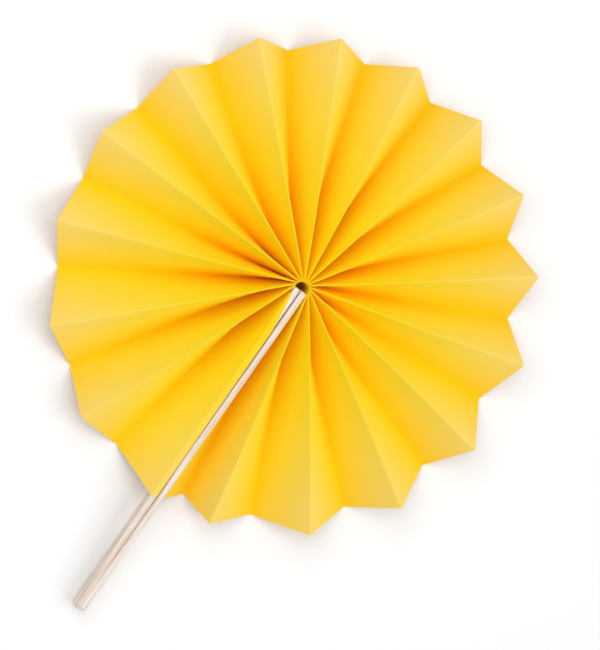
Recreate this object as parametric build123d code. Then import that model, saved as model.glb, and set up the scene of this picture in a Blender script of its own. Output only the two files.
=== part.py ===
from build123d import *
import os
from math import asin, atan, atan2, cos, degrees, hypot, pi, radians, sin, sqrt, tan

# Paper fan rosette: one accordion-folded strip of paper opened to a full circle round a hub,
# its two ends glued to a pair of wooden slats that meet as the handle.
# It lies on its back with the front up: the hub axis is Z, the table is Z = 0 and the handle
# points along -Y. Sizes are in millimetres, angles in degrees.

# Paper strip
strip_width = 97.3  # length of every front crease, seen from the front
rim_slant = 6.0  # the outer edge is cut slanting, so the back creases are shorter by this
front_hub_radius = 3.7  # hub axis to the inner ends of the front creases, beside the slats
back_hub_radius = 3.8  # hub axis to the inner ends of the back creases, beside the slats
hub_closing = 1.3  # the pleats away from the slats are drawn in by this
panel_width = 25.0  # distance between two neighbouring creases of the flat strip
paper_thickness = 0.25
rim_rise = 16.0  # height left in the pleats at the rim once the circle is closed
last_pleat = 0.5  # the pleat tucked in beside the handle, in widths of a whole pleat
opening_bias = 0.10  # share by which the pleats beside the handle open wider than the average
front_hub_turn = 58.0  # room left beside the slats' heads at the front of the hub
back_hub_turn = 70.0  # room left below the slats at the back of the hub

# Folds
crease_spans = 9  # straight lengths that follow the bow of a front crease
crest_half_width = 0.9 * paper_thickness  # half the flat on the outside of a crease
corner_depth = 0.7 * paper_thickness  # from the flat to the sharp inside of the crease

# Handle slats
slat_width = 8.0
slat_thickness = 2.4
slat_head_gap = 1.3  # hub axis to the rounded heads of the slats
slat_length = 154.7
slat_head_radius = 1.2
slat_tail_radius = 2.0
slat_edge_bevel = 0.35
slat_spread = 0.35  # half the gap between the slats at the hub; it closes at their tails
tail_clearance = 0.01

# Paper glued to the slats
cover_start_radius = 4.5  # the paper is trimmed at the hub to clear the rounded heads
wrap_seam_gap = 0.3  # free edge of the paper on the left slat, short of the seam
wrap_start_radius = 20.0  # where the paper begins to cover the whole top of the left slat
wrap_hub_width = 0.4  # width of that paper at the hub
glue_top_gap = 1.0  # free edge of the paper on the right slat, below the slat's top
glue_width = 5.0
glue_film = 0.01  # thickness of the glue between paper and slats

# Wire ring at the hub
wire_radius = 0.3
wire_ring_radius = 6.0
wire_drop = 5.0  # below the slats' top edges
wire_clearance = 0.25
slat_hole_radius = 1.0

# The slanting cut leaves the tips of the front creases standing out round the rim.
rim_radius = front_hub_radius + strip_width
back_rim_radius = back_hub_radius + strip_width - rim_slant

# The wire ring crosses the middle of each slat at this distance from the hub axis.
wire_crossing = sqrt(wire_ring_radius**2 - (slat_spread + slat_thickness / 2)**2)

# The strip has as many pleats as close the circle at that height.
rim_reach = sqrt(panel_width**2 - rim_rise**2)
whole_pleats = round(pi * rim_radius / rim_reach - last_pleat)

# The slats lie on edge, level with the creases at the hub, and run down to the table.
slat_reach = slat_head_gap + slat_length
slat_pitch = degrees(
    asin((panel_width - slat_tail_radius)
         / hypot(slat_reach - slat_tail_radius, slat_width - slat_tail_radius))
    - atan2(slat_width - slat_tail_radius, slat_reach - slat_tail_radius)
)
slat_splay = degrees(
    atan((slat_spread - tail_clearance) / (slat_reach * cos(radians(slat_pitch))))
)


def slat_top(distance):
    """Height of the slats' top edges at a distance from the hub axis."""
    return panel_width - distance * tan(radians(slat_pitch))


def slat_side(distance):
    """Distance from the seam to the slats' outer faces."""
    half_gap = slat_spread - distance * tan(radians(slat_splay))
    return half_gap + slat_thickness / cos(radians(slat_splay))


def plan_point(radius, turn, height=0.0):
    """Point at a turn from the handle, clockwise seen from the front."""
    angle = radians(turn)
    return Vector(-radius * sin(angle), -radius * cos(angle), height)


def opened_turn(pleats, first_turn):
    """Turn reached after a number of pleats, when the first crease stands at first_turn."""
    share = pleats / (whole_pleats + last_pleat)
    share += opening_bias * sin(2 * pi * share) / (2 * pi)
    return first_turn + (360 - 2 * first_turn) * share


def crease_ends(pleats, hub_radius, hub_turn, tip_radius):
    """Inner and outer ends of a crease in plan."""
    rim_turn = degrees(asin(slat_side(rim_radius) / rim_radius))
    turn = opened_turn(pleats, hub_turn)
    drawn_in = hub_closing * (1 - cos(radians(turn))) / 2
    inner = plan_point(hub_radius - drawn_in, turn)
    outer = plan_point(tip_radius - drawn_in, opened_turn(pleats, rim_turn))
    return inner, outer


def crest_height(front_point, back_point, slant):
    """Height of a front crease above the back crease one panel width away."""
    reach = (front_point - back_point).length
    return sqrt(panel_width**2 + slant**2 - reach**2)


def along(start, end):
    """Points from one end of a crease to the other, one at each bend of the bow."""
    return [start + (end - start) * (step / crease_spans) for step in range(crease_spans + 1)]


def moved(points, aside=0.0, up=0.0):
    """Points of a crease moved sideways, toward the next pleat, and up."""
    run = points[-1] - points[0]
    across = Vector(run.Y, -run.X, 0).normalized()
    return [point + across * aside + Vector(0, 0, up) for point in points]


def front_fold(number):
    """Crease on the front, bowed because the panels beside it keep their width as they spread."""
    front_ends = crease_ends(number, front_hub_radius, front_hub_turn, rim_radius)
    back_ends = crease_ends(number - 0.5, back_hub_radius, back_hub_turn, back_rim_radius)
    crest = []
    for step, points in enumerate(zip(along(*front_ends), along(*back_ends))):
        rise = crest_height(*points, rim_slant * step / crease_spans)
        crest.append(points[0] + Vector(0, 0, rise))
    front = [moved(crest, side) for side in (-crest_half_width, crest_half_width)]
    back = [moved(crest, up=-corner_depth)]
    return front, back


def back_fold(pleats):
    """Straight crease on the back, lying on the table."""
    points = along(*crease_ends(pleats, back_hub_radius, back_hub_turn, back_rim_radius))
    front = [moved(points, up=corner_depth)]
    back = [moved(points, side) for side in (-crest_half_width, crest_half_width)]
    return front, back


def slat_line(side, out, drop):
    """Line in the glue along a slat (side -1 left, 1 right), out from its face and below its top."""
    ends = []
    for distance in (cover_start_radius, sqrt(rim_radius**2 - slat_side(rim_radius)**2)):
        across = slat_side(distance) + glue_film + out
        height = slat_top(distance) + glue_film - drop
        ends.append(Vector(side * across, -distance, height))
    return along(*ends)


def corner_face(*points):
    """Flat face with the given corners."""
    return Face(Wire.make_polygon(points, close=True))


def strip_faces(first, second):
    """Flat triangles between two lines of points: paper twists without stretching."""
    faces = []
    for near in range(len(first) - 1):
        far = near + 1
        faces.append(corner_face(first[near], first[far], second[far]))
        faces.append(corner_face(first[near], second[far], second[near]))
    return faces


def crease_flat(first, second):
    """Narrow faces along the outside of a crease, one level face where it lies on the table."""
    if all(point.Z == 0 for point in first):
        return [corner_face(*first, *reversed(second))]
    return [
        corner_face(first[near], first[near + 1], second[near + 1], second[near])
        for near in range(crease_spans)
    ]


def end_faces(fold, place):
    """Cut edge of the paper across the flat of one crease."""
    front, back = fold
    if len(front) + len(back) == 3:
        return [corner_face(*(line[place] for line in front + back))]
    return []


def panel_faces(fold, following):
    """Front, back and two cut edges of the panel between two creases."""
    front = (fold[0][-1], following[0][0])
    back = (fold[1][-1], following[1][0])
    faces = strip_faces(*front) + strip_faces(*back)
    for place in (0, -1):
        front_cut = [line[place] for line in front]
        back_cut = [line[place] for line in back]
        faces += strip_faces(front_cut, back_cut)
    return faces


def wrap_faces(fold):
    """Paper turned over the top of the left slat, cut back at the hub to free the slat's head."""
    crest, corner = fold[0][0], fold[1][0]
    hub, rim = corner[0], corner[-1]
    start = Vector(0, -wrap_start_radius, slat_top(wrap_start_radius) + glue_film)
    lower = [
        hub + Vector(wrap_hub_width, 0, 0),
        start - Vector(wrap_seam_gap, 0, 0),
        Vector(-wrap_seam_gap, rim.Y, rim.Z),
    ]
    upper = [point + Vector(0, 0, paper_thickness) for point in lower]
    faces = [
        corner_face(*reversed(crest), *upper),
        corner_face(*reversed(corner), *lower),
    ]
    faces += strip_faces(lower, upper)
    for place, wrap_place in ((0, 0), (-1, 2)):
        top = [crest[place], upper[wrap_place]]
        bottom = [corner[place], lower[wrap_place]]
        faces += strip_faces(top, bottom)
    return faces


def make_pleated_sheet():
    """One closed sheet: every pleat, the turned-over left end and the glued right end."""
    left_end = (
        [slat_line(-1, crest_half_width, -paper_thickness)],
        [slat_line(-1, 0, 0)],
    )
    folds = [left_end]
    for number in range(1, whole_pleats + 1):
        folds.append(back_fold(number - 0.5))
        folds.append(front_fold(number))
    folds.append(back_fold(whole_pleats + last_pleat / 2))
    for drop in (glue_top_gap + glue_width, glue_top_gap):
        folds.append(([slat_line(1, paper_thickness, drop)], [slat_line(1, 0, drop)]))

    faces = wrap_faces(left_end)
    for fold, following in zip(folds, folds[1:]):
        faces += panel_faces(fold, following)
    for fold in folds:
        faces += end_faces(fold, 0) + end_faces(fold, -1)
        for edges in fold:
            if len(edges) == 2:
                faces += crease_flat(*edges)
    faces += strip_faces(folds[-1][0][0], folds[-1][1][0])
    return Solid(Shell(faces))


def wire_height():
    """Height of the wire ring, where it passes through the slats."""
    return slat_top(wire_crossing) - wire_drop / cos(radians(slat_pitch))


def ring(section_radius):
    """Ring about the hub axis at the height of the wire, six-sided in section."""
    section = Rot(90, 0, 0) * RegularPolygon(section_radius, 6)
    return revolve(Pos(wire_ring_radius, 0, wire_height()) * section, Axis.Z)


def make_slat():
    """Right slat, drilled at its head, with bevelled edges."""
    middle = slat_head_gap + slat_length / 2
    slat = Pos(slat_thickness / 2, -middle, -slat_width / 2) * Box(
        slat_thickness, slat_length, slat_width
    )
    across = slat.edges().filter_by(Axis.X).group_by(Axis.Y)
    slat = fillet(across[-1], slat_head_radius)
    across = slat.edges().filter_by(Axis.X).group_by(Axis.Y)
    slat = fillet(across[0], slat_tail_radius)
    sides = slat.faces().filter_by(Axis.X)
    slat = chamfer(sides.edges(), slat_edge_bevel)
    pitch = radians(slat_pitch)
    hole_distance = wire_crossing / cos(pitch) + wire_drop * tan(pitch)
    hole = Pos(slat_thickness / 2, -hole_distance, -wire_drop) * Rot(0, 90, 0) * Cylinder(
        slat_hole_radius, 2 * slat_thickness
    )
    slat -= hole
    lie = Pos(slat_spread, 0, panel_width) * Rot(0, 0, -slat_splay) * Rot(slat_pitch, 0, 0)
    return lie * slat


os.makedirs("parts", exist_ok=True)

pleated_sheet = make_pleated_sheet() - ring(wire_radius + wire_clearance)
slat_right = make_slat()
slat_left = mirror(slat_right, about=Plane.YZ)
hub_wire = ring(wire_radius)

export_step(pleated_sheet, "parts/pleated_sheet.step")
export_step(slat_right, "parts/slat_right.step")
export_step(slat_left, "parts/slat_left.step")
export_step(hub_wire, "parts/hub_wire.step")

for name, piece in (
    ("pleated_sheet", pleated_sheet),
    ("slat_right", slat_right),
    ("slat_left", slat_left),
    ("hub_wire", hub_wire),
):
    box = piece.bounding_box()
    print(name, "volume", round(piece.volume, 1), "from", box.min, "to", box.max)
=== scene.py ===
# %% [markdown]
# # A paper fan rosette
#
# The real thing is a strip of yellow paper, folded like an accordion and opened until its two
# ends meet. Each end is glued to a flat wooden slat, and the two slats side by side are the
# handle. A thin wire ring through the slats and the pleats holds the middle together.
#
# The CAD model gives the sizes. Here the paper gets rounded creases and the small unevenness
# of handwork, the slats get soft edges and grain, and everything gets a surface, light and a
# camera. Blender works in metres, so each size in millimetres is written times `MM`.

from math import asin, atan, cos, pi, radians, sin, sqrt, tan

import bpy
from mathutils import Matrix, Vector, noise


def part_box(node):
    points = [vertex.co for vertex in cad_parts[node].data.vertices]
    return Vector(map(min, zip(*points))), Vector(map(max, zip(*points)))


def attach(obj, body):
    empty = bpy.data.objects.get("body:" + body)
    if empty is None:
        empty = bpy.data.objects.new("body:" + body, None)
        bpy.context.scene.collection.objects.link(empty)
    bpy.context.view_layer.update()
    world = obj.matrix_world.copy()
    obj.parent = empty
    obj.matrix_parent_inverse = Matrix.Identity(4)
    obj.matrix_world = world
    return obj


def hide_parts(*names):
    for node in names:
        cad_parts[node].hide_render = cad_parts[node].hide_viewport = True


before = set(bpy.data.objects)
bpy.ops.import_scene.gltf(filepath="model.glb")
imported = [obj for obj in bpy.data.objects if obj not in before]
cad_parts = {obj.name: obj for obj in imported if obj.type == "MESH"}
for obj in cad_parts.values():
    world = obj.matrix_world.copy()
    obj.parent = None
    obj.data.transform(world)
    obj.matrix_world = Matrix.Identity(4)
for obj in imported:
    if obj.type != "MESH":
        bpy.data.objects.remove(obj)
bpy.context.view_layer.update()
MM = 0.001
print("CAD nodes:", ", ".join(sorted(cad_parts)))

# %% [markdown]
# ## The sizes of the strip
#
# These are the sizes that a person folding the fan would choose: how wide the strip is, how
# wide each panel is, and how far from the middle the creases start. The outer edge of the
# strip is cut slanting, so that the front folds stand further out than the back folds and the
# rim gets its points. All of them could be read off the CAD mesh instead, but a few named
# sizes are easier to follow and to change.

# %% Sizes of the paper
STRIP_WIDTH = 97.3 * MM
RIM_SLANT = 6.0 * MM
PANEL_WIDTH = 25.0 * MM
PAPER_THICKNESS = 0.25 * MM
WHOLE_PLEATS = 16
LAST_PLEAT = 0.5
print(WHOLE_PLEATS, "whole pleats and a last one of", LAST_PLEAT, "at the seam")

# %% [markdown]
# The creases start on two small circles, one for the front folds and one for the back folds.
# The slats' heads take up the part of each circle nearest the handle, so the first crease
# starts at a turn beyond them. Opposite the handle the pleats are drawn in a little further
# and opened slightly less than beside it, as they are when the circle is closed by hand.

# %% Sizes of the opened circle
FRONT_HUB_RADIUS = 3.7 * MM
BACK_HUB_RADIUS = 3.8 * MM
FRONT_HUB_TURN = radians(58.0)
BACK_HUB_TURN = radians(70.0)
HUB_CLOSING = 1.3 * MM
OPENING_BIAS = 0.10
RIM_RADIUS = FRONT_HUB_RADIUS + STRIP_WIDTH
BACK_RIM_RADIUS = BACK_HUB_RADIUS + STRIP_WIDTH - RIM_SLANT
print("rim diameter", round(2 * RIM_RADIUS / MM), "mm")

# %% [markdown]
# The slats stand on edge with a narrow seam between them. They lean together toward the end
# of the handle, and their top edges run down toward it. The left end of the paper covers the
# top of the left slat, and the right end is glued down the side of the right slat.

# %% Sizes of the slats and of the seam
SLAT_THICKNESS = 2.4 * MM
SLAT_SPREAD = 0.35 * MM
SLAT_PITCH = radians(6.352)
GLUE_FILM = 0.01 * MM
GLUE_DROPS = (6.0 * MM, 1.0 * MM)
COVER_START = 4.5 * MM
WRAP_START = 20.0 * MM
WRAP_HUB_WIDTH = 0.4 * MM
SEAM_GAP = 0.3 * MM

slat_low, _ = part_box("slat_left")
SLAT_END = -slat_low.y
SLAT_SPLAY = atan(SLAT_SPREAD / SLAT_END)
print("handle reaches", round(SLAT_END / MM), "mm from the hub")


# %% [markdown]
# ## Where each fold runs
#
# A fold is a line from the hub to the rim. Back folds lie on the table. A front fold stands as
# high as the panel beside it allows: the panel keeps its width, so as the folds spread apart
# toward the rim the crest comes down. That is why the crests of the real fan are bowed. A
# straight zigzag, scaled up from the hub to the rim, would be quicker, but it would stretch
# the paper and give straight crests.

# %% Places on the slats and on the circle
def slat_top(distance):
    """Height of the slats' top edges at a distance from the hub axis."""
    return PANEL_WIDTH - distance * tan(SLAT_PITCH)


def slat_side(distance):
    """Distance from the seam to the slats' outer faces."""
    return SLAT_SPREAD - distance * tan(SLAT_SPLAY) + SLAT_THICKNESS / cos(SLAT_SPLAY)


def plan_point(radius, turn):
    """Point at a turn from the handle, clockwise seen from the front."""
    return Vector((-radius * sin(turn), -radius * cos(turn), 0))


def opened_turn(pleats, first_turn):
    """Turn reached after a number of pleats, when the first crease stands at first_turn."""
    share = pleats / (WHOLE_PLEATS + LAST_PLEAT)
    share += OPENING_BIAS * sin(2 * pi * share) / (2 * pi)
    return first_turn + (2 * pi - 2 * first_turn) * share


# %% [markdown]
# No crease made by hand is quite straight or quite in its place. Each one leans a little to a
# side and bends a little on its way, by a smooth noise that depends on the number of the
# crease. At the hub, where the pleats are packed, nothing can move.

# %% The small wander of a crease made by hand
ROWS = 64
CREASE_BEND = 0.9 * MM
CREASE_LEAN = 2.2 * MM


def chance(*place):
    """Smooth random value between -1 and 1 at a place."""
    return noise.noise(Vector(place))


def wander(number, share):
    """Sideways drift of crease number at a share of its length, most at the rim."""
    bend = chance(2.1 * share, 3.1 * number, 0.4)
    lean = chance(0.3, 7.3 * number, 5.2)
    return share * (CREASE_BEND * bend + CREASE_LEAN * lean)


# %% Fold lines round the circle
FRONT_CIRCLES = (FRONT_HUB_RADIUS, FRONT_HUB_TURN, RIM_RADIUS)
BACK_CIRCLES = (BACK_HUB_RADIUS, BACK_HUB_TURN, BACK_RIM_RADIUS)


def plan_line(pleats, circles, number):
    """Points along a crease in plan, one for each row of the strip."""
    hub_radius, hub_turn, rim_radius = circles
    rim_turn = asin(slat_side(RIM_RADIUS) / RIM_RADIUS)
    turn = opened_turn(pleats, hub_turn)
    drawn_in = HUB_CLOSING * (1 - cos(turn)) / 2
    inner = plan_point(hub_radius - drawn_in, turn)
    run = plan_point(rim_radius - drawn_in, opened_turn(pleats, rim_turn)) - inner
    across = Vector((run.y, -run.x, 0)).normalized()
    steps = [row / ROWS for row in range(ROWS + 1)]
    return [inner + run * step + across * wander(number, step) for step in steps]


def back_line(pleats):
    """Back crease, resting on the table."""
    lift = Vector((0, 0, PAPER_THICKNESS / 2))
    return [point + lift for point in plan_line(pleats, BACK_CIRCLES, pleats)]


def front_line(number):
    """Front crease, as high as the panel before it allows."""
    crests = plan_line(number, FRONT_CIRCLES, number)
    feet = plan_line(number - 0.5, BACK_CIRCLES, number)
    line = []
    for row, (crest, foot) in enumerate(zip(crests, feet)):
        slant = RIM_SLANT * row / ROWS
        rise = sqrt(PANEL_WIDTH**2 + slant**2 - (crest - foot).length_squared)
        line.append(crest + Vector((0, 0, rise - PAPER_THICKNESS / 2)))
    return line


# %% [markdown]
# The first and last folds follow the slats. The left end of the paper is turned over the top
# of the left slat as far as the seam, and cut back near the hub, so that both rounded slat
# heads show. The right end is glued down the side of the right slat, with a film of glue
# between them.

# %% Folds on the slats
def slat_rows():
    """Distances from the hub axis, one for each row."""
    last = sqrt(RIM_RADIUS**2 - slat_side(RIM_RADIUS) ** 2)
    return [COVER_START + (last - COVER_START) * row / ROWS for row in range(ROWS + 1)]


def slat_line(side, drop):
    """Line in the glue along a slat: side -1 is left, 1 is right."""
    out = GLUE_FILM + PAPER_THICKNESS / 2
    return [
        Vector((side * (slat_side(y) + out), -y, slat_top(y) + out - drop)) for y in slat_rows()
    ]


def seam_line():
    """Free edge of the paper on top of the left slat."""
    line = []
    for point in slat_line(-1, 0):
        hub_edge = point.x + WRAP_HUB_WIDTH
        share = min(1, (-point.y - COVER_START) / (WRAP_START - COVER_START))
        line.append(Vector((hub_edge + (-SEAM_GAP - hub_edge) * max(0, share), point.y, point.z)))
    return line


# %% All folds, from the seam clockwise to the glued end
fold_lines = [seam_line(), slat_line(-1, 0)]
for pleat in range(1, WHOLE_PLEATS + 1):
    fold_lines += [back_line(pleat - 0.5), front_line(pleat)]
fold_lines += [back_line(WHOLE_PLEATS + LAST_PLEAT / 2)]
fold_lines += [slat_line(1, drop) for drop in GLUE_DROPS]
panels = len(fold_lines) - 1
print(panels, "panels between", len(fold_lines), "lines")

# %% [markdown]
# ## Fold the strip
#
# The paper starts as what it is on the workbench: a flat strip, a grid with columns across it.
# It could also be extruded panel by panel, but that leaves hard corners at the folds. Here the
# columns are bunched at each fold, where the paper turns round a small radius, and spread over
# each panel, which is slightly bowed. Then every column is carried to its place. A grid keeps
# the quads in rows along the folds, so the light runs smoothly over them.

# %% A flat strip
BEND_COLUMNS = 6
PANEL_COLUMNS = 8


def deselect():
    """Nothing selected, so that the next operator acts on its own piece alone."""
    bpy.ops.object.select_all(action="DESELECT")


def take(piece):
    """Make a piece the only selected and active one."""
    deselect()
    piece.select_set(True)
    bpy.context.view_layer.objects.active = piece


columns = panels * PANEL_COLUMNS + (panels - 1) * BEND_COLUMNS
deselect()
bpy.ops.mesh.primitive_grid_add(x_subdivisions=columns, y_subdivisions=ROWS, size=1)
paper = bpy.context.object
paper.name = "folded_paper"
print("flat strip:", columns, "by", ROWS, "quads")

# %% [markdown]
# A fold isn't a knife edge. The paper turns round a radius, tight where the pleats are packed
# at the hub and wider at the rim, and its normal swings evenly from one panel to the next.

# %% Rounded folds
HUB_BEND = 0.13 * MM
RIM_BEND = 0.45 * MM


def tangent(line, row):
    """Direction of a fold at a row, from the hub to the rim."""
    return (line[min(row + 1, ROWS)] - line[max(row - 1, 0)]).normalized()


def panel_normal(fold, row, step):
    """Front normal of the panel before (step -1) or after (step 1) a fold."""
    run = (fold_lines[fold + step][row] - fold_lines[fold][row]) * step
    return run.cross(tangent(fold_lines[fold], row)).normalized()


def bend_points(fold, row):
    """Points round the small radius of a fold, and the normals there."""
    here = fold_lines[fold][row]
    if fold in (0, panels):
        step = 1 if fold == 0 else -1
        return [here], [panel_normal(fold, row, step)]
    before = panel_normal(fold, row, -1)
    after = panel_normal(fold, row, 1)
    travel = fold_lines[fold + 1][row] - fold_lines[fold - 1][row]
    side = 1 if (after - before).dot(travel) > 0 else -1
    radius = side * (HUB_BEND + (RIM_BEND - HUB_BEND) * row / ROWS)
    centre = here - (before + after).normalized() * radius
    normals = [before.slerp(after, step / BEND_COLUMNS) for step in range(BEND_COLUMNS + 1)]
    return [centre + normal * radius for normal in normals], normals


# %% [markdown]
# A panel of thin paper is never quite flat either. Each one bows out or in by its own amount,
# more often out. The panels next to the glue are held flat.

# %% Bowed panels, row by row
BOW = 0.45 * MM
BOW_SWING = 1.6
BOW_OUTWARD = 0.35
BOW_AT_HUB = 0.15


def bow(panel, row, share):
    """How far a panel stands out of its plane: most in the middle, none at its folds."""
    reach = row / ROWS
    mood = chance(2.3 * reach, 5.7 * panel, 1.9) * BOW_SWING + BOW_OUTWARD
    return BOW * mood * 4 * share * (1 - share) * sin(pi * min(1, BOW_AT_HUB + reach))


def folded_row(row):
    """All points of one row, from the seam round to the glued end."""
    points = []
    points_here, normals_here = bend_points(0, row)
    for panel in range(panels):
        points += points_here
        points_next, normals_next = bend_points(panel + 1, row)
        start, end = points_here[-1], points_next[0]
        for column in range(1, PANEL_COLUMNS):
            share = column / PANEL_COLUMNS
            normal = normals_here[-1].slerp(normals_next[0], share)
            out = bow(panel, row, share) if 0 < panel < panels - 2 else 0
            points.append(start.lerp(end, share) + normal * out)
        points_here, normals_here = points_next, normals_next
    return points + points_here


# %% [markdown]
# While the strip is still a grid, a vertex's column and row say where it is on the paper. So
# this is the moment to store what the material will ask for: where the paper lies in a fold or
# in the glue, which gets painted shade, how far along it is toward the rim, and how high it
# stands.

# %% Carry every column to its place
folded = [folded_row(row) for row in range(ROWS + 1)]
painted_shade_mask = paper.data.attributes.new("painted_shade_mask", "FLOAT", "POINT")
along = paper.data.attributes.new("along", "FLOAT", "POINT")
height = paper.data.attributes.new("height", "FLOAT", "POINT")
for vertex in paper.data.vertices:
    column = round((vertex.co.x + 0.5) * columns)
    row = round((vertex.co.y + 0.5) * ROWS)
    place = column % (PANEL_COLUMNS + BEND_COLUMNS) - PANEL_COLUMNS
    # The folds and the glued ends are marked for painted shade.
    glued = column < PANEL_COLUMNS or column > columns - PANEL_COLUMNS
    painted_shade_mask.data[vertex.index].value = 1.0 if glued or 0 < place < BEND_COLUMNS else 0.0
    vertex.co = folded[row][column]
    along.data[vertex.index].value = row / ROWS
    height.data[vertex.index].value = vertex.co.z / PANEL_WIDTH
reach = max(point.xy.length for point in folded[-1])
print("folded: the rim reaches", round(reach / MM, 1), "mm from the hub axis")

# %% [markdown]
# ## Give the paper its thickness
#
# So far the strip has no thickness. It could be extruded along its normals in edit mode, but
# the Solidify modifier does that evenly and closes the cut edges as well. It gives a front and
# a back skin a quarter of a millimetre apart, and the cut edges catch the light at the rim.

# %% Thickness and smooth shading
PAPER_SMOOTH_ANGLE = radians(50)

take(paper)
thickness = paper.modifiers.new("thickness", "SOLIDIFY")
thickness.thickness = PAPER_THICKNESS
thickness.offset = 0
bpy.ops.object.modifier_apply(modifier=thickness.name)
bpy.ops.object.mode_set(mode="EDIT")
bpy.ops.mesh.select_all(action="SELECT")
bpy.ops.mesh.normals_make_consistent(inside=False)
bpy.ops.object.mode_set(mode="OBJECT")
bpy.ops.object.shade_smooth_by_angle(angle=PAPER_SMOOTH_ANGLE)
print("paper:", len(paper.data.polygons), "faces")

# %% [markdown]
# ## The slats
#
# The real slats are thin flat sticks with rounded heads and a hole for the wire. They could be
# modelled again from a cube, but the CAD slats have the right shape already, holes and all.
# Only their mesh is loose triangles. A copy of each is merged, so that its rounded ends shade
# smoothly, and a fine bevel takes the last sharpness off its edges, as sanding does.

# %% Smooth copies of the slats
SANDED_EDGE = 0.08 * MM
SANDED_ANGLE = radians(25)
SLAT_SMOOTH_ANGLE = radians(30)


def smooth_slat(node):
    """Merged copy of a CAD slat with softened edges."""
    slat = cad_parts[node].copy()
    slat.data = slat.data.copy()
    slat.parent = None
    slat.name = node + "_sanded"
    bpy.context.scene.collection.objects.link(slat)
    take(slat)
    bpy.ops.object.mode_set(mode="EDIT")
    bpy.ops.mesh.select_all(action="SELECT")
    bpy.ops.mesh.remove_doubles(threshold=0.001 * MM)
    bpy.ops.mesh.dissolve_limited(angle_limit=radians(1))
    bpy.ops.object.mode_set(mode="OBJECT")
    soft = slat.modifiers.new("sanding", "BEVEL")
    soft.width = SANDED_EDGE
    soft.segments = 2
    soft.angle_limit = SANDED_ANGLE
    bpy.ops.object.modifier_apply(modifier=soft.name)
    bpy.ops.object.shade_smooth_by_angle(angle=SLAT_SMOOTH_ANGLE)
    print(slat.name, len(slat.data.polygons), "faces")
    return slat


slats = {node: smooth_slat(node) for node in ("slat_left", "slat_right")}

# %% [markdown]
# ## The wire ring
#
# The ring runs through the slats' heads and through every pleat, half hidden between them. A
# circle curve with a round bevel would do as well, but a torus is a mesh at once. A ring
# closed by hand is never quite round, so it is pushed a little out of true.

# %% Wire
WIRE_RADIUS = 0.3 * MM
WIRE_DENT = 0.12 * MM

wire_low, wire_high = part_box("hub_wire")
ring_radius = (wire_high.x - wire_low.x) / 2 - WIRE_RADIUS
ring_height = (wire_low.z + wire_high.z) / 2
deselect()
bpy.ops.mesh.primitive_torus_add(
    location=(0, 0, ring_height),
    major_radius=ring_radius,
    minor_radius=WIRE_RADIUS,
    major_segments=96,
    minor_segments=12,
)
wire = bpy.context.object
wire.name = "wire_ring"
bpy.ops.object.transform_apply(location=True, rotation=True, scale=True)
for vertex in wire.data.vertices:
    outward = Vector((vertex.co.x, vertex.co.y, 0)).normalized()
    vertex.co += outward * WIRE_DENT * noise.noise(outward * 1.4)
take(wire)
bpy.ops.object.shade_smooth()
print("wire ring radius", round(ring_radius / MM, 2), "mm")

# %% [markdown]
# ## Surfaces
#
# Every surface is made of nodes, with no picture files. A few small helpers keep the node
# trees readable: one adds a node with its settings, one starts a material, and two make a node
# group and place it. What more than one material needs is built once as such a group, and
# each material gives it its own values.


# %% Node helpers
def add_node(tree, kind, **values):
    """New node; a value is an attribute, or an input if its name is one."""
    node = tree.nodes.new(kind)
    for name, value in values.items():
        if hasattr(node, name):
            setattr(node, name, value)
        else:
            node.inputs[name.replace("_", " ")].default_value = value
    return node


def new_material(name):
    """New material, its node tree and its Principled surface."""
    material = bpy.data.materials.new(name)
    material.use_nodes = True
    return material, material.node_tree, material.node_tree.nodes["Principled BSDF"]


# %% Group helpers
def group_with(name, inputs, outputs):
    """Node group with named inputs, at their first values, and named outputs."""
    group = bpy.data.node_groups.new(name, "ShaderNodeTree")
    for socket, value in inputs.items():
        made = group.interface.new_socket(socket, in_out="INPUT", socket_type="NodeSocketFloat")
        made.default_value = value
    for socket in outputs:
        group.interface.new_socket(socket, in_out="OUTPUT", socket_type="NodeSocketFloat")
    return group, group.nodes.new("NodeGroupInput"), group.nodes.new("NodeGroupOutput")


def place_group(tree, group, **values):
    """A node group set in a tree with its own values."""
    node = tree.nodes.new("ShaderNodeGroup")
    node.node_tree = group
    for name, value in values.items():
        node.inputs[name.replace("_", " ")].default_value = value
    return node


# %% [markdown]
# ### Mottle
#
# Paper pulp, wood and drawn metal all vary in two sizes: broad soft clouds and fine specks.
# The group mixes the two and puts out values about a half, for colour, roughness and bump. A
# small Stretch draws the pattern out along Y, for fibres, and Tilt turns it about X to follow
# a piece that runs up or down. It reads Object coordinates, so it stays fixed to the piece.

# %% Mottle group
mottle_group, mottle_in, mottle_out = group_with(
    "mottle",
    {"Cloud Scale": 30.0, "Speck Scale": 900.0, "Speck Share": 0.4, "Stretch": 1.0, "Tilt": 0.0},
    ("Clouds", "Specks", "Both"),
)


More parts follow.
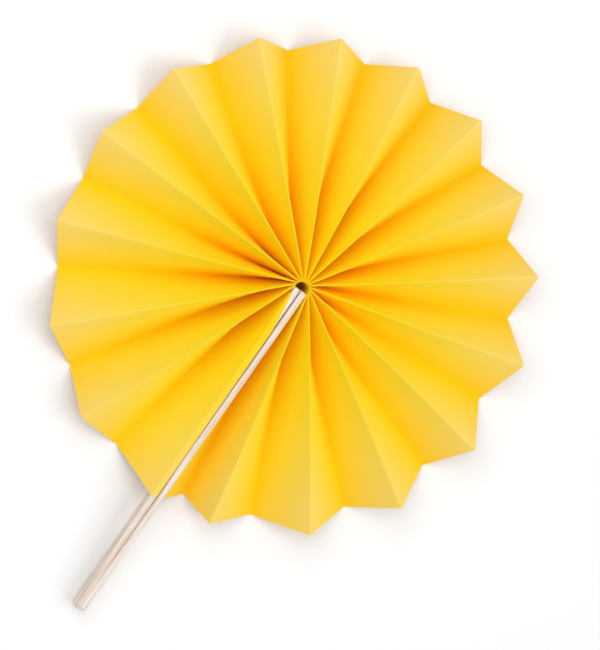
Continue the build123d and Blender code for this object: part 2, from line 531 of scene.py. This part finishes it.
def build_mottle(tree, start, end):
    """Clouds and specks on Object coordinates, tilted about X and stretched along Y."""
    link = tree.links.new
    place = add_node(tree, "ShaderNodeTexCoord")
    turned = add_node(tree, "ShaderNodeVectorRotate", rotation_type="X_AXIS")
    link(place.outputs["Object"], turned.inputs["Vector"])
    link(start.outputs["Tilt"], turned.inputs["Angle"])
    stretch = add_node(tree, "ShaderNodeCombineXYZ", X=1.0, Z=1.0)
    link(start.outputs["Stretch"], stretch.inputs["Y"])
    scaled = add_node(tree, "ShaderNodeVectorMath", operation="MULTIPLY")
    link(turned.outputs["Vector"], scaled.inputs[0])
    link(stretch.outputs["Vector"], scaled.inputs[1])
    clouds = add_node(tree, "ShaderNodeTexNoise", Detail=3.0, Roughness=0.55)
    specks = add_node(tree, "ShaderNodeTexNoise", Detail=5.0, Roughness=0.65)
    for texture, scale in ((clouds, "Cloud Scale"), (specks, "Speck Scale")):
        link(scaled.outputs["Vector"], texture.inputs["Vector"])
        link(start.outputs[scale], texture.inputs["Scale"])
    both = add_node(tree, "ShaderNodeMix", data_type="FLOAT")
    link(start.outputs["Speck Share"], both.inputs["Factor"])
    link(clouds.outputs["Fac"], both.inputs["A"])
    link(specks.outputs["Fac"], both.inputs["B"])
    link(clouds.outputs["Fac"], end.inputs["Clouds"])
    link(specks.outputs["Fac"], end.inputs["Specks"])
    link(both.outputs["Result"], end.inputs["Both"])


build_mottle(mottle_group, mottle_in, mottle_out)
print("mottle group:", len(mottle_group.nodes), "nodes")

# %% [markdown]
# What the mottle puts out has to become a colour, a roughness or a normal. These helpers do
# that with one node each: a ramp between two tones, a blend of two colours, a value spread to
# a range, the product of two values, and a bump.


# %% Colour helpers
def two_tone(tree, value, low, high, dark, light):
    """Colour between dark and light as a value goes from low to high."""
    ramp = add_node(tree, "ShaderNodeValToRGB")
    ramp.color_ramp.elements[0].position = low
    ramp.color_ramp.elements[0].color = (*dark, 1)
    ramp.color_ramp.elements[1].position = high
    ramp.color_ramp.elements[1].color = (*light, 1)
    tree.links.new(value, ramp.inputs["Fac"])
    return ramp.outputs["Color"]


def blend(tree, share, first, second):
    """Colour from the first to the second as share goes to 1; a tuple is a plain colour."""
    mix = add_node(tree, "ShaderNodeMix", data_type="RGBA")
    tree.links.new(share, mix.inputs["Factor"])
    for socket, colour in (("A", first), ("B", second)):
        if isinstance(colour, tuple):
            mix.inputs[socket].default_value = (*colour, 1)
        else:
            tree.links.new(colour, mix.inputs[socket])
    return mix.outputs["Result"]


# %% Value and bump helpers
def spread(tree, value, low, high):
    """A value about a half, spread to a range."""
    ranged = add_node(tree, "ShaderNodeMapRange", From_Min=0.3, From_Max=0.7)
    ranged.inputs["To Min"].default_value = low
    ranged.inputs["To Max"].default_value = high
    tree.links.new(value, ranged.inputs["Value"])
    return ranged.outputs["Result"]


def product(tree, first, second):
    """Two values multiplied."""
    times = add_node(tree, "ShaderNodeMath", operation="MULTIPLY")
    tree.links.new(first, times.inputs[0])
    tree.links.new(second, times.inputs[1])
    return times.outputs["Value"]


def stored(tree, name):
    """Value of an attribute stored on the mesh."""
    return add_node(tree, "ShaderNodeAttribute", attribute_name=name).outputs["Fac"]


def bumped(tree, height, distance, strength=1.0):
    """Normal from a height."""
    bump = add_node(tree, "ShaderNodeBump", Distance=distance, Strength=strength)
    tree.links.new(height, bump.inputs["Height"])
    return bump.outputs["Normal"]


# %% [markdown]
# ### Yellow paper
#
# The paper is dyed right through and quite matt. One flat yellow would look like plastic, and
# a painted picture would need a UV map, so the colour follows the three values stored while the
# strip was folded. The folds and the glued ends get painted shade, a deeper yellow. Toward the
# rim the raised folds get a paler painted highlight, and the valleys a deeper painted shade.

# %% Dye of the paper, with painted shade and highlight
HUB_DARK = (1.0, 0.78, 0.002)
HUB_LIGHT = (1.0, 0.83, 0.006)
PAINTED_FOLD_SHADE = (1.0, 0.62, 0.015)
PAINTED_VALLEY_SHADE = (1.0, 0.635, 0.006)
PAINTED_CREST_HIGHLIGHT = (1.0, 0.73, 0.195)
CREST_HEIGHT = 0.75
PAINTED_RIM_POWER = 2.4

paper_material, tree, surface = new_material("yellow_paper")
link = tree.links.new
pulp = place_group(tree, mottle_group, Cloud_Scale=45.0, Speck_Scale=1500.0, Speck_Share=0.45)
specks = pulp.outputs["Specks"]
fresh = two_tone(tree, pulp.outputs["Both"], 0.3, 0.7, HUB_DARK, HUB_LIGHT)
# Painted shade: the folds and glued ends are mixed toward a deeper yellow, unevenly by the
# specks.
painted_shade_share = product(tree, stored(tree, "painted_shade_mask"), spread(tree, specks, 0.55, 0.95))
inner = blend(tree, painted_shade_share, fresh, PAINTED_FOLD_SHADE)
# Painted light and shade toward the rim: valleys a deeper yellow, raised folds paler, by height.
uneven = spread(tree, pulp.outputs["Both"], 0.85, 1.15)
raised = product(tree, stored(tree, "height"), uneven)
outer = two_tone(tree, raised, 0.0, CREST_HEIGHT, PAINTED_VALLEY_SHADE, PAINTED_CREST_HIGHLIGHT)
painted_rim_share = add_node(tree, "ShaderNodeMath", operation="POWER")
link(stored(tree, "along"), painted_rim_share.inputs[0])
painted_rim_share.inputs[1].default_value = PAINTED_RIM_POWER
link(blend(tree, painted_rim_share.outputs["Value"], inner, outer), surface.inputs["Base Color"])

# %% [markdown]
# The grooves of the real fan turn orange toward the hub, though the dye there is as yellow as
# the rest. Light that goes down a groove bounces from panel to panel, and every bounce takes
# out some green and nearly all blue, while the red stays. So the red of the paper is full, and
# the camera cell lets light bounce often. A Translucent shader adds the little light that
# comes through a thin sheet from behind.

# %% Grain, gloss and glow of the paper
GLOW_COLOUR = (1.0, 0.74, 0.05)
GLOW_SHARE = 0.02

link(spread(tree, specks, 0.68, 0.86), surface.inputs["Roughness"])
grain = bumped(tree, specks, 0.03 * MM, 0.6)
link(grain, surface.inputs["Normal"])
surface.inputs["Specular IOR Level"].default_value = 0.08
glow = add_node(tree, "ShaderNodeBsdfTranslucent", Color=(*GLOW_COLOUR, 1))
link(grain, glow.inputs["Normal"])
mixed = add_node(tree, "ShaderNodeMixShader", Fac=GLOW_SHARE)
link(surface.outputs["BSDF"], mixed.inputs[1])
link(glow.outputs["BSDF"], mixed.inputs[2])
link(mixed.outputs["Shader"], tree.nodes["Material Output"].inputs["Surface"])
print("paper surface:", len(tree.nodes), "nodes")

# %% [markdown]
# ### Pale wood
#
# The slats are split from pale birch or bamboo: long fine fibres, darker streaks and a few
# pores, all running along the slat. A Wave texture makes such streaks too, but they repeat.
# The mottle, drawn out along Y and tilted to the slope of the slats, never does.

# %% Wood
WOOD_DARK = (0.66, 0.52, 0.42)
WOOD_LIGHT = (0.93, 0.85, 0.76)

wood_material, tree, surface = new_material("pale_wood")
link = tree.links.new
fibres = place_group(
    tree, mottle_group, Cloud_Scale=420.0, Speck_Scale=2200.0, Speck_Share=0.5, Stretch=0.045
)
fibres.inputs["Tilt"].default_value = -SLAT_PITCH
tone = two_tone(tree, fibres.outputs["Both"], 0.36, 0.58, WOOD_DARK, WOOD_LIGHT)
link(tone, surface.inputs["Base Color"])
link(spread(tree, fibres.outputs["Specks"], 0.5, 0.72), surface.inputs["Roughness"])
link(bumped(tree, fibres.outputs["Both"], 0.06 * MM), surface.inputs["Normal"])
surface.inputs["Specular IOR Level"].default_value = 0.35
print("wood surface:", len(tree.nodes), "nodes")

# %% [markdown]
# ### Brass wire
#
# Drawn wire is bright but not polished: fine scratches from the die and a little tarnish. A
# plain metal of one colour would look like gold paint, so the clouds of the mottle darken it
# in places and its specks roughen it.

# %% Brass
BRASS_DULL = (0.42, 0.26, 0.08)
BRASS_BRIGHT = (0.72, 0.50, 0.18)

brass_material, tree, surface = new_material("brass_wire")
link = tree.links.new
tarnish = place_group(tree, mottle_group, Cloud_Scale=260.0, Speck_Scale=3200.0)
metal = two_tone(tree, tarnish.outputs["Clouds"], 0.35, 0.62, BRASS_DULL, BRASS_BRIGHT)
link(metal, surface.inputs["Base Color"])
link(spread(tree, tarnish.outputs["Both"], 0.28, 0.5), surface.inputs["Roughness"])
link(bumped(tree, tarnish.outputs["Specks"], 0.01 * MM), surface.inputs["Normal"])
surface.inputs["Metallic"].default_value = 1.0
print("brass surface:", len(tree.nodes), "nodes")

# %% [markdown]
# Each finished piece takes its material, rides on the one body of the part, and stands in for
# the CAD node that it was made from.


# %% Put the surfaces on
def dress(piece, material, node):
    """One material on a piece that rides on the body and stands for a CAD node."""
    piece.data.materials.clear()
    piece.data.materials.append(material)
    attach(piece, "root")
    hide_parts(node)


dress(paper, paper_material, "pleated_sheet")
for node, slat in slats.items():
    dress(slat, wood_material, node)
dress(wire, brass_material, "hub_wire")
print("dressed:", paper.name, wire.name, *(slat.name for slat in slats.values()))

# %% [markdown]
# ## Floor and background
#
# The photograph has a plain white ground. More lamps would turn the floor white, but they
# would wash out the paper too. So the floor is a pale matt board that looks white to the
# camera and in reflections, and bounces a little less light, which leaves some depth to the
# underside of the fan. The Light Path node tells the two kinds of ray apart. The floor still
# takes the fan's shadow.


# %% Rays that see
def seen_rays(tree):
    """1 for rays from the camera, mirrored and through glass too, and 0 for bounced light."""
    rays = add_node(tree, "ShaderNodeLightPath")
    seen = rays.outputs["Is Camera Ray"]
    for kind in ("Is Glossy Ray", "Is Transmission Ray"):
        either = add_node(tree, "ShaderNodeMath", operation="MAXIMUM")
        tree.links.new(seen, either.inputs[0])
        tree.links.new(rays.outputs[kind], either.inputs[1])
        seen = either.outputs["Value"]
    return seen


# %% Floor
FLOOR_SIZE = 8.0
FLOOR_BOUNCE = (0.80, 0.80, 0.80)
FLOOR_SEEN = (1.0, 1.0, 1.0)

deselect()
bpy.ops.mesh.primitive_plane_add(size=FLOOR_SIZE)
floor = bpy.context.object
floor.name = "floor"

floor_material, tree, surface = new_material("floor_board")
board = blend(tree, seen_rays(tree), FLOOR_BOUNCE, FLOOR_SEEN)
tree.links.new(board, surface.inputs["Base Color"])
surface.inputs["Roughness"].default_value = 0.9
surface.inputs["Specular IOR Level"].default_value = 0.0
floor.data.materials.append(floor_material)
print("floor", FLOOR_SIZE, "m wide")

# %% [markdown]
# The background works in the same way: seen directly it is white, and it lights the fan from
# all around at a lower strength.

# %% Background
AMBIENT = 0.61
WHITE = 1.0

world = bpy.data.worlds.new("studio")
bpy.context.scene.world = world
world.use_nodes = True
tree = world.node_tree
strength = add_node(tree, "ShaderNodeMapRange", To_Min=AMBIENT, To_Max=WHITE)
tree.links.new(seen_rays(tree), strength.inputs["Value"])
background = tree.nodes["Background"]
background.inputs["Color"].default_value = (1, 1, 1, 1)
tree.links.new(strength.outputs["Result"], background.inputs["Strength"])
print("light from all around:", AMBIENT)

# %% [markdown]
# ## Light
#
# The photograph is lit softly, a little more from the lower right of the picture. A sun lamp
# would draw hard shadows in the grooves, so a large softbox stands far off on that side and
# lights the whole disc evenly. A small one near the upper left brightens the panels there.
# Both are weak, so that a colour looks about as it is written.


# %% Softboxes
def softbox(name, turn, height, distance, size, power):
    """Square lamp at a turn about the hub axis and a height angle, aimed at the hub."""
    aim = Vector((cos(height) * cos(turn), cos(height) * sin(turn), sin(height)))
    bpy.ops.object.light_add(type="AREA", location=aim * distance)
    lamp = bpy.context.object
    lamp.name = name
    lamp.data.size = size
    lamp.data.energy = power
    lamp.rotation_euler = aim.to_track_quat("Z", "Y").to_euler()
    print(name, "softbox,", power, "W")


softbox("key", radians(8), radians(50), distance=2.5, size=2.0, power=21.5)
softbox("fill", radians(162), radians(62), distance=0.5, size=0.45, power=0.82)

# %% [markdown]
# ## Camera
#
# The photograph looks nearly straight at the fan, about 15 degrees off its axis, and the
# handle points to the lower left of the picture. Here the fan lies on its back. So the camera
# stands above it at that angle and is rolled until the handle points that way. A matrix of
# the camera's right, up and back directions sets its turn at once; a Track To constraint
# would leave the roll open. The lens follows from the number of pixels to a millimetre.

# %% Directions of the camera
VIEW_TURN = radians(195)
VIEW_HEIGHT = radians(75.5)
PICTURE_UP = radians(124.4)

back = Vector(
    (cos(VIEW_HEIGHT) * cos(VIEW_TURN), cos(VIEW_HEIGHT) * sin(VIEW_TURN), sin(VIEW_HEIGHT))
)
up = Vector((cos(PICTURE_UP), sin(PICTURE_UP), 0))
up = (up - back * up.dot(back)).normalized()
right = up.cross(back)
print("camera looks along", [round(-part, 2) for part in back])

# %% Camera
VIEW_DISTANCE = 1.2
PIXELS_HIGH = 650
PIXELS_PER_MM = 2.52
HUB_HEIGHT = PANEL_WIDTH * 0.8
MIDDLE_BELOW_HUB = 15.0 * MM

middle = Vector((0, 0, HUB_HEIGHT)) - up * MIDDLE_BELOW_HUB
bpy.ops.object.camera_add(location=middle + back * VIEW_DISTANCE)
camera = bpy.context.object
camera.rotation_mode = "QUATERNION"
camera.rotation_quaternion = Matrix((right, up, back)).transposed().to_quaternion()
camera.data.sensor_fit = "VERTICAL"
picture_height = PIXELS_HIGH / PIXELS_PER_MM * MM
camera.data.lens = camera.data.sensor_height * VIEW_DISTANCE / picture_height
camera.data.clip_start = 0.05
bpy.context.scene.camera = camera
print("lens", round(camera.data.lens), "mm at", VIEW_DISTANCE, "m")

# %% [markdown]
# ## How light and colour are worked out
#
# The Standard view shows a colour as it is written, where the default view softens it. The
# grooves need their many bounces: after the usual four, light is cut off and they end brown.

# %% View and bounces
LIGHT_BOUNCES = 24

scene = bpy.context.scene
scene.view_settings.view_transform = "Standard"
scene.cycles.max_bounces = LIGHT_BOUNCES
scene.cycles.diffuse_bounces = LIGHT_BOUNCES
print("light bounces up to", LIGHT_BOUNCES, "times")
